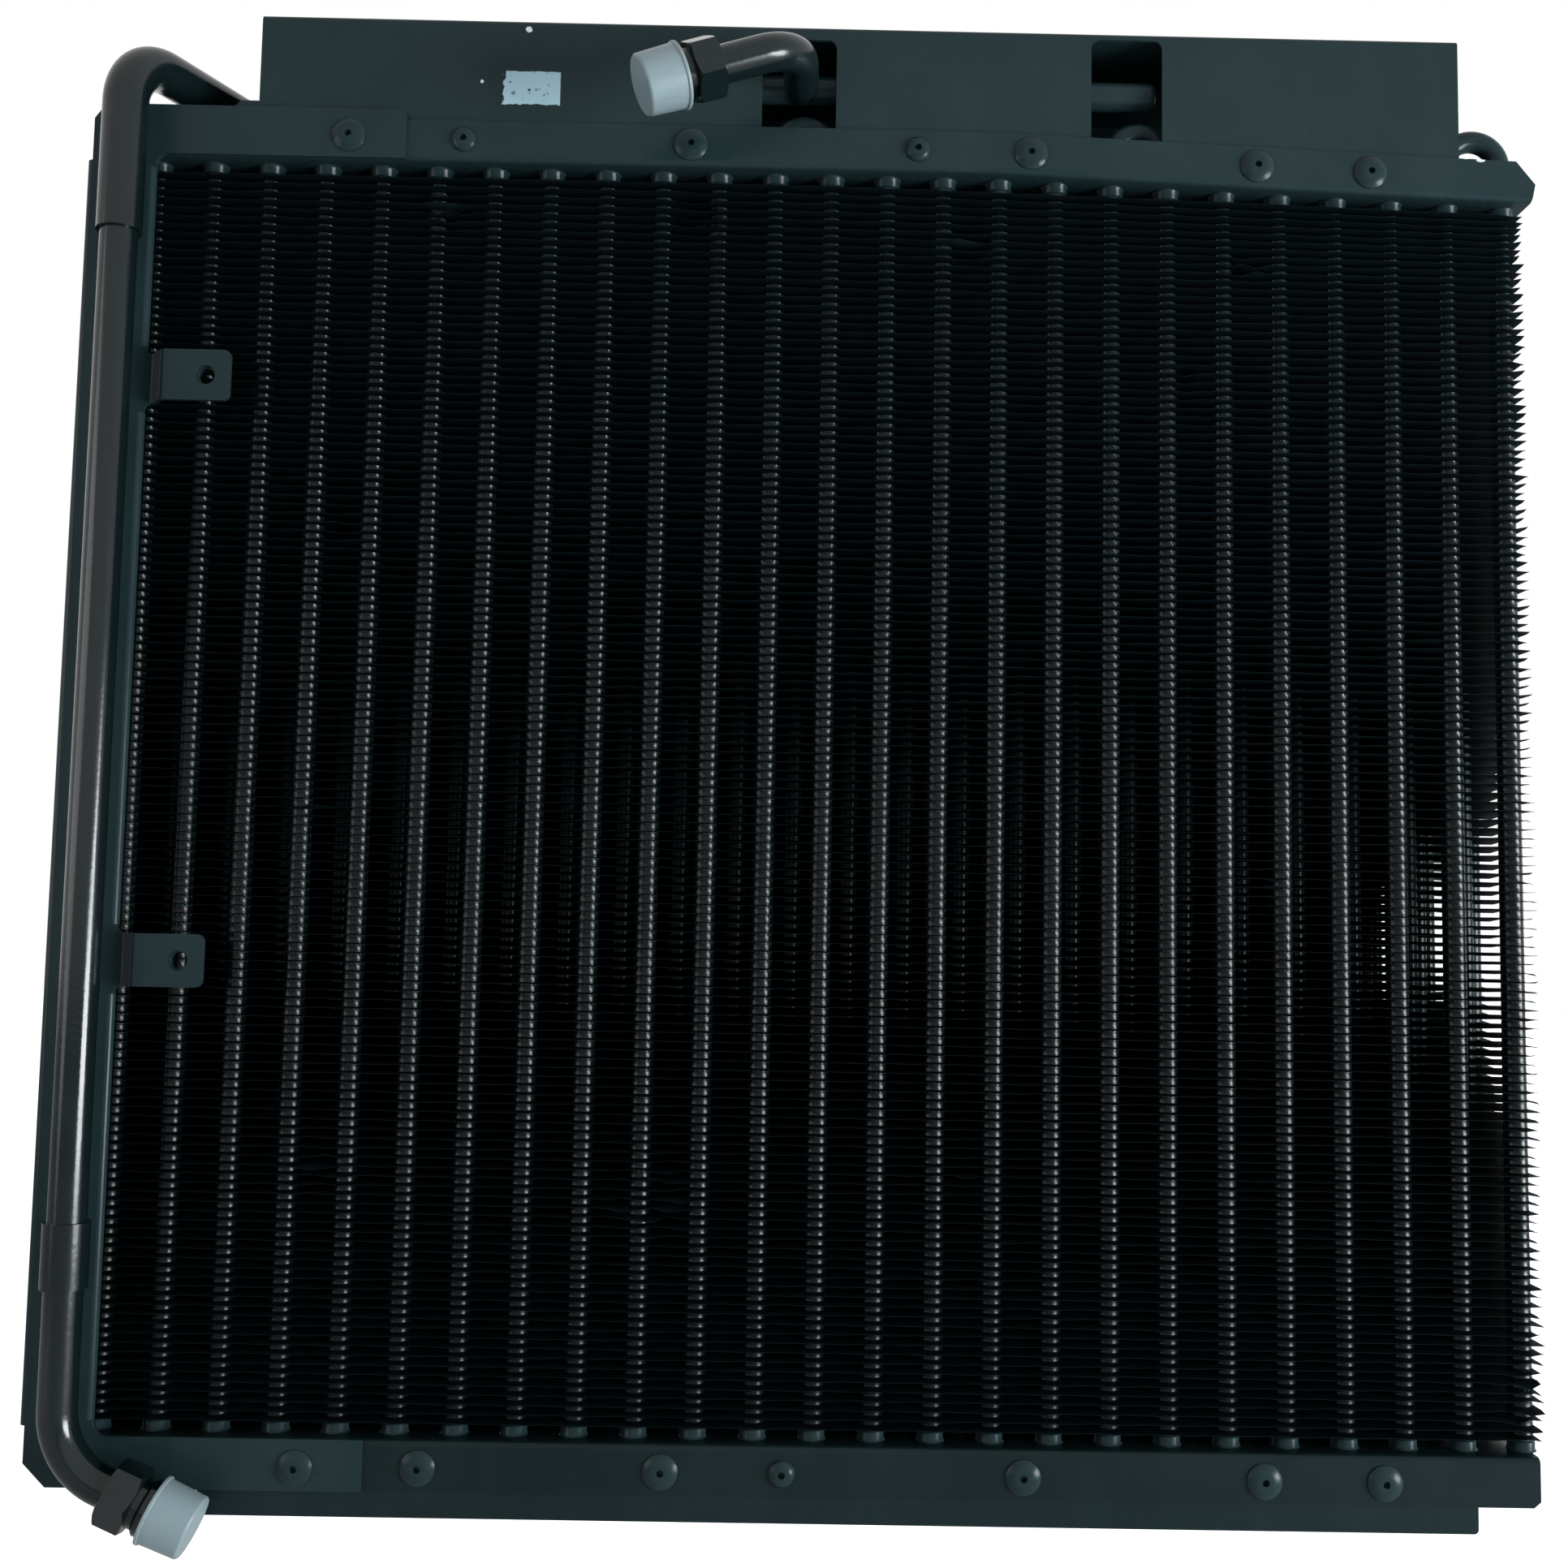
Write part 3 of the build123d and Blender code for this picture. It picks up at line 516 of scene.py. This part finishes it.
def web_collars(profile, droop):
    """A channel's collars round all the tubes, from the profile of one."""
    places = [at(tube_x(row, column), row_y(row), -channel_droop(tube_x(row, column), droop))
              for row in range(1, ROWS + 1) for column in range(1, COLUMNS + 1)]
    return repeated(turned(profile, 16), places)


class CONDENSER_OT_collars(bpy.types.Operator):
    """Adds the collars by which the fins hold the front and rear tubes, and those of the channels"""

    bl_idname = "condenser.collars"
    bl_label = "Collars"

    def execute(self, context):
        sizes, colours = context.scene.condenser_sizes, context.scene.condenser_colours
        profile = [(COLLAR_INNER, FIN_BOTTOM - COLLARS_BELOW)]
        for number in range(FIN_COUNT):
            height = FIN_BOTTOM + number * FIN_PITCH
            profile += [(sizes.collar_radius - COLLAR_STEP, height - COLLAR_LIP),
                        (sizes.collar_flare, height + COLLAR_LIP),
                        (sizes.collar_radius, height + COLLAR_RISE)]
        profile += [(COLLAR_INNER, FIN_TOP + COLLARS_ABOVE)]
        material = fin_paint("collar_paint", colours, 0.24, 0.8, 0.22)
        for row, label, steps in ((1, "front", 14), (ROWS, "rear", 10)):
            ring = turned(profile, steps)
            for number, (start, end) in enumerate(COLLAR_SHARES):
                bm = fin_collars(row, start, end, ring, sizes.droop)
                put(f"{label}_collars_{number + 1}", bm, material, (), 80)
        shine = black_paint("web_collar_paint", colours, 0.3)
        upper = [(radius, WEB - away) for radius, away in WEB_COLLAR]
        put("top_web_collars", web_collars(upper, sizes.droop), shine, (), 60)
        lower = [(radius, away - WEB) for radius, away in reversed(WEB_COLLAR)]
        put("bottom_web_collars", web_collars(lower, 0.0), shine, (), 60)
        return {"FINISHED"}


class CONDENSER_OT_tubes(bpy.types.Operator):
    """Shows the tubes and their bends with painted, smooth surfaces"""

    bl_idname = "condenser.tubes"
    bl_label = "Tubes and bends"

    def execute(self, context):
        colours = context.scene.condenser_colours
        material = black_paint("tube_paint", colours, 0.55)
        for row in ("front_row", "second_row", "third_row", "rear_row"):
            dress(row + "_tubes", material)
            dress(row + "_bends", material)
        dress("crossover_bends", material)
        return {"FINISHED"}


def drooped(bm, amount):
    """Bends a piece down along the dented stretch of the top channel."""
    start = at(DROOP_START, 0, 0)
    geometry = list(bm.verts) + list(bm.edges) + list(bm.faces)
    bmesh.ops.bisect_plane(bm, geom=geometry, dist=0.000001, plane_co=start, plane_no=(1, 0, 0))
    for vert in bm.verts:
        vert.co.z -= channel_droop((vert.co.x - MIDDLE.x) / MILLIMETRE, amount) * MILLIMETRE
    return bm


class CONDENSER_OT_channels(bpy.types.Operator):
    """Shows the two channels; the top one is dented towards its right end"""

    bl_idname = "condenser.channels"
    bl_label = "Channels"

    def execute(self, context):
        sizes, colours = context.scene.condenser_sizes, context.scene.condenser_colours
        material = black_paint("channel_paint", colours, 0.8, CHANNEL_CHIPS)
        bm = drooped(solid_of("top_channel", True), sizes.droop)
        put("top_channel_shown", bm, material, ("top_channel",), 35, sizes.edge)
        # Painted shade: the same black with its base colour halved, so the lower channel renders darker
        # than the top one.
        dark = black_paint("bottom_channel_paint", colours, 0.4, CHANNEL_CHIPS, gloss=0.14, painted_shade_factor=0.5)
        dress("bottom_channel", dark, sizes.edge)
        return {"FINISHED"}


class CONDENSER_OT_side_plate(bpy.types.Operator):
    """Shows the side plate with its tabs, and the weld nuts behind them"""

    bl_idname = "condenser.side_plate"
    bl_label = "Side plate and nuts"

    def execute(self, context):
        sizes, colours = context.scene.condenser_sizes, context.scene.condenser_colours
        material = black_paint("side_plate_paint", colours, 0.7)
        dress("side_plate", material, sizes.edge)
        dress("weld_nuts", material, sizes.edge)
        return {"FINISHED"}


class CONDENSER_OT_plates(bpy.types.Operator):
    """Shows the cover plate with its windows, and the strip at the bottom"""

    bl_idname = "condenser.plates"
    bl_label = "Cover plate and strip"

    def execute(self, context):
        sizes, colours = context.scene.condenser_sizes, context.scene.condenser_colours
        dress("cover_plate", black_paint("cover_paint", colours, 0.9, COVER_CHIPS, True), sizes.edge)
        # Painted shade: the strip's black has its base colour cut to six tenths, darker like the lower
        # channel.
        dress("lower_plate", black_paint("strip_paint", colours, 0.5, painted_shade_factor=0.6), sizes.edge)
        return {"FINISHED"}


class CONDENSER_OT_rivets(bpy.types.Operator):
    """Shows the blind rivets; those on top follow the dented channel"""

    bl_idname = "condenser.rivets"
    bl_label = "Rivets"

    def execute(self, context):
        sizes, colours = context.scene.condenser_sizes, context.scene.condenser_colours
        material = black_paint("rivet_paint", colours, 0.6)
        bm = solid_of("top_rivets")
        for vert in bm.verts:
            pitches = ((vert.co.x - MIDDLE.x) / MILLIMETRE - tube_x(1, 1)) / TUBE_PITCH
            middle = tube_x(1, 1) + (round(pitches - 0.5) + 0.5) * TUBE_PITCH
            vert.co.z -= channel_droop(middle, sizes.droop) * MILLIMETRE
        put("top_rivets_shown", bm, material, ("top_rivets",), 50)
        dress("bottom_rivets", material, 0.0, 50)
        return {"FINISHED"}


class CONDENSER_OT_headers(bpy.types.Operator):
    """Shows the two headers and the stubs that lead into them"""

    bl_idname = "condenser.headers"
    bl_label = "Headers"

    def execute(self, context):
        material = black_paint("header_paint", context.scene.condenser_colours, 0.5)
        for node in ("gas_header", "gas_stubs", "liquid_header", "liquid_stubs"):
            dress(node, material)
        return {"FINISHED"}


class CONDENSER_OT_gas_pipe(bpy.types.Operator):
    """Shows the gas pipe from the bend over the corner to the lower fitting"""

    bl_idname = "condenser.gas_pipe"
    bl_label = "Gas pipe"

    def execute(self, context):
        sizes, colours = context.scene.condenser_sizes, context.scene.condenser_colours
        # Painted shade: the pipe's black has its base colour cut to three tenths, for the dark sides of
        # the pipe.
        material = black_paint("pipe_paint", colours, 0.1, gloss=0.13, shine=0.34, painted_shade_factor=0.3)
        for node in ("upper_pipe_bend", "vertical_pipe", "coupling_sleeve", "lower_pipe_bend"):
            dress(node, material)
        dress("lower_fitting", material, sizes.edge)
        return {"FINISHED"}


class CONDENSER_OT_outlet(bpy.types.Operator):
    """Shows the elbow and the fitting that come out of the first window"""

    bl_idname = "condenser.outlet"
    bl_label = "Liquid outlet"

    def execute(self, context):
        sizes, colours = context.scene.condenser_sizes, context.scene.condenser_colours
        # Painted shade: the elbow's and fitting's black has its base colour cut to four tenths.
        material = black_paint("outlet_paint", colours, 0.1, gloss=0.15, shine=0.3, painted_shade_factor=0.4)
        dress("elbow", material)
        dress("upper_fitting", material, sizes.edge)
        return {"FINISHED"}


class CONDENSER_OT_caps(bpy.types.Operator):
    """Shows the transit caps on both fittings"""

    bl_idname = "condenser.caps"
    bl_label = "Transit caps"

    def execute(self, context):
        material = cap_plastic("cap_plastic", context.scene.condenser_colours)
        dress("lower_cap", material, 0.0003)
        dress("upper_cap", material, 0.0003)
        return {"FINISHED"}


def lamp(name, place, aim, width, height, power, tint):
    """A soft area lamp, placed in millimetres from the tube field's middle."""
    data = bpy.data.lights.new(name, "AREA")
    data.shape = "RECTANGLE"
    data.size = width
    data.size_y = height
    data.energy = power
    data.color = tint
    light = bpy.data.objects.new(name, data)
    light.location = at(*place)
    light.rotation_euler = (at(*aim) - at(*place)).to_track_quat("-Z", "Z").to_euler()
    bpy.context.scene.collection.objects.link(light)


def camera_turn():
    """The camera's axes, as the columns of a matrix."""
    ahead = Vector((math.sin(CAMERA_YAW) * math.cos(CAMERA_TILT),
                    math.cos(CAMERA_YAW) * math.cos(CAMERA_TILT), math.sin(CAMERA_TILT)))
    right = Vector((math.cos(CAMERA_YAW), -math.sin(CAMERA_YAW), 0))
    up = right.cross(ahead)
    across = math.cos(CAMERA_ROLL) * right + math.sin(CAMERA_ROLL) * up
    upright = -math.sin(CAMERA_ROLL) * right + math.cos(CAMERA_ROLL) * up
    return Matrix((across, upright, -ahead)).transposed()


class CONDENSER_OT_stage(bpy.types.Operator):
    """Adds the floor, the white surroundings, the lamps and the camera"""

    bl_idname = "condenser.stage"
    bl_label = "Stage"

    def execute(self, context):
        scene = context.scene
        scene.view_settings.view_transform = "Standard"
        bm = bmesh.new()
        bmesh.ops.create_grid(bm, x_segments=1, y_segments=1, size=FLOOR_HALF_WIDTH)
        bmesh.ops.translate(bm, verts=bm.verts, vec=at(0, 0, FLOOR_HEIGHT))
        mesh = bpy.data.meshes.new("floor")
        bm.to_mesh(mesh)
        bm.free()
        floor = bpy.data.objects.new("floor", mesh)
        scene.collection.objects.link(floor)
        pale = Finish("floor_white")
        seen = pale.add("ShaderNodeLightPath", {}, {}, "Is Camera Ray")
        glow = pale.mix(seen, (0.0, 0.0, 0.0, 1.0), (0.9, 0.9, 0.9, 1.0))
        pale.set(Base_Color=(0.9, 0.9, 0.9, 1.0), Roughness=0.9, Specular_IOR_Level=0.0)
        pale.set(Emission_Color=glow, Emission_Strength=1.0)
        mesh.materials.append(pale.material)

        world = bpy.data.worlds.new("surroundings")
        world.use_nodes = True
        scene.world = world
        tree = world.node_tree
        background = tree.nodes["Background"]
        background.inputs["Color"].default_value = (1.0, 1.0, 1.0, 1.0)
        path = tree.nodes.new("ShaderNodeLightPath")
        level = tree.nodes.new("ShaderNodeMapRange")
        level.inputs["To Min"].default_value = 1.0
        level.inputs["To Max"].default_value = DIFFUSE_LEVEL
        tree.links.new(path.outputs["Is Diffuse Ray"], level.inputs["Value"])
        tree.links.new(level.outputs["Result"], background.inputs["Strength"])

        for settings in LAMPS:
            lamp(*settings)

        camera = bpy.data.objects.new("camera", bpy.data.cameras.new("camera"))
        scene.collection.objects.link(camera)
        camera.data.sensor_width = SENSOR_WIDTH
        camera.data.lens = FOCAL_LENGTH
        camera.data.clip_start = CLIP_START
        camera.data.clip_end = CLIP_END
        camera.matrix_world = Matrix.Translation(at(*CAMERA_PLACE)) @ camera_turn().to_4x4()
        scene.camera = camera
        return {"FINISHED"}


OPERATORS = (CONDENSER_OT_fins, CONDENSER_OT_collars, CONDENSER_OT_tubes, CONDENSER_OT_channels,
             CONDENSER_OT_side_plate, CONDENSER_OT_plates, CONDENSER_OT_rivets, CONDENSER_OT_headers,
             CONDENSER_OT_gas_pipe, CONDENSER_OT_outlet, CONDENSER_OT_caps, CONDENSER_OT_stage)


class CONDENSER_PT_panel(bpy.types.Panel):
    """Lists the pieces of the condenser"""

    bl_idname = "CONDENSER_PT_panel"
    bl_label = "Condenser"
    bl_space_type = "VIEW_3D"
    bl_region_type = "UI"
    bl_category = "Condenser"

    def draw(self, context):
        for operator in OPERATORS:
            self.layout.operator(operator.bl_idname)
        for name in CondenserSizes.__annotations__:
            self.layout.prop(context.scene.condenser_sizes, name)
        for name in CondenserColours.__annotations__:
            self.layout.prop(context.scene.condenser_colours, name)


CLASSES = (CondenserSizes, CondenserColours, *OPERATORS, CONDENSER_PT_panel)


def register():
    for item in CLASSES:
        bpy.utils.register_class(item)
    bpy.types.Scene.condenser_sizes = bpy.props.PointerProperty(type=CondenserSizes)
    bpy.types.Scene.condenser_colours = bpy.props.PointerProperty(type=CondenserColours)


def unregister():
    del bpy.types.Scene.condenser_colours
    del bpy.types.Scene.condenser_sizes
    for item in reversed(CLASSES):
        bpy.utils.unregister_class(item)


def main():
    register()
    bpy.ops.condenser.fins()
    bpy.ops.condenser.collars()
    bpy.ops.condenser.tubes()
    bpy.ops.condenser.channels()
    bpy.ops.condenser.side_plate()
    bpy.ops.condenser.plates()
    bpy.ops.condenser.rivets()
    bpy.ops.condenser.headers()
    bpy.ops.condenser.gas_pipe()
    bpy.ops.condenser.outlet()
    bpy.ops.condenser.caps()
    bpy.ops.condenser.stage()
    bpy.context.view_layer.update()


if __name__ == "__main__":
    main()
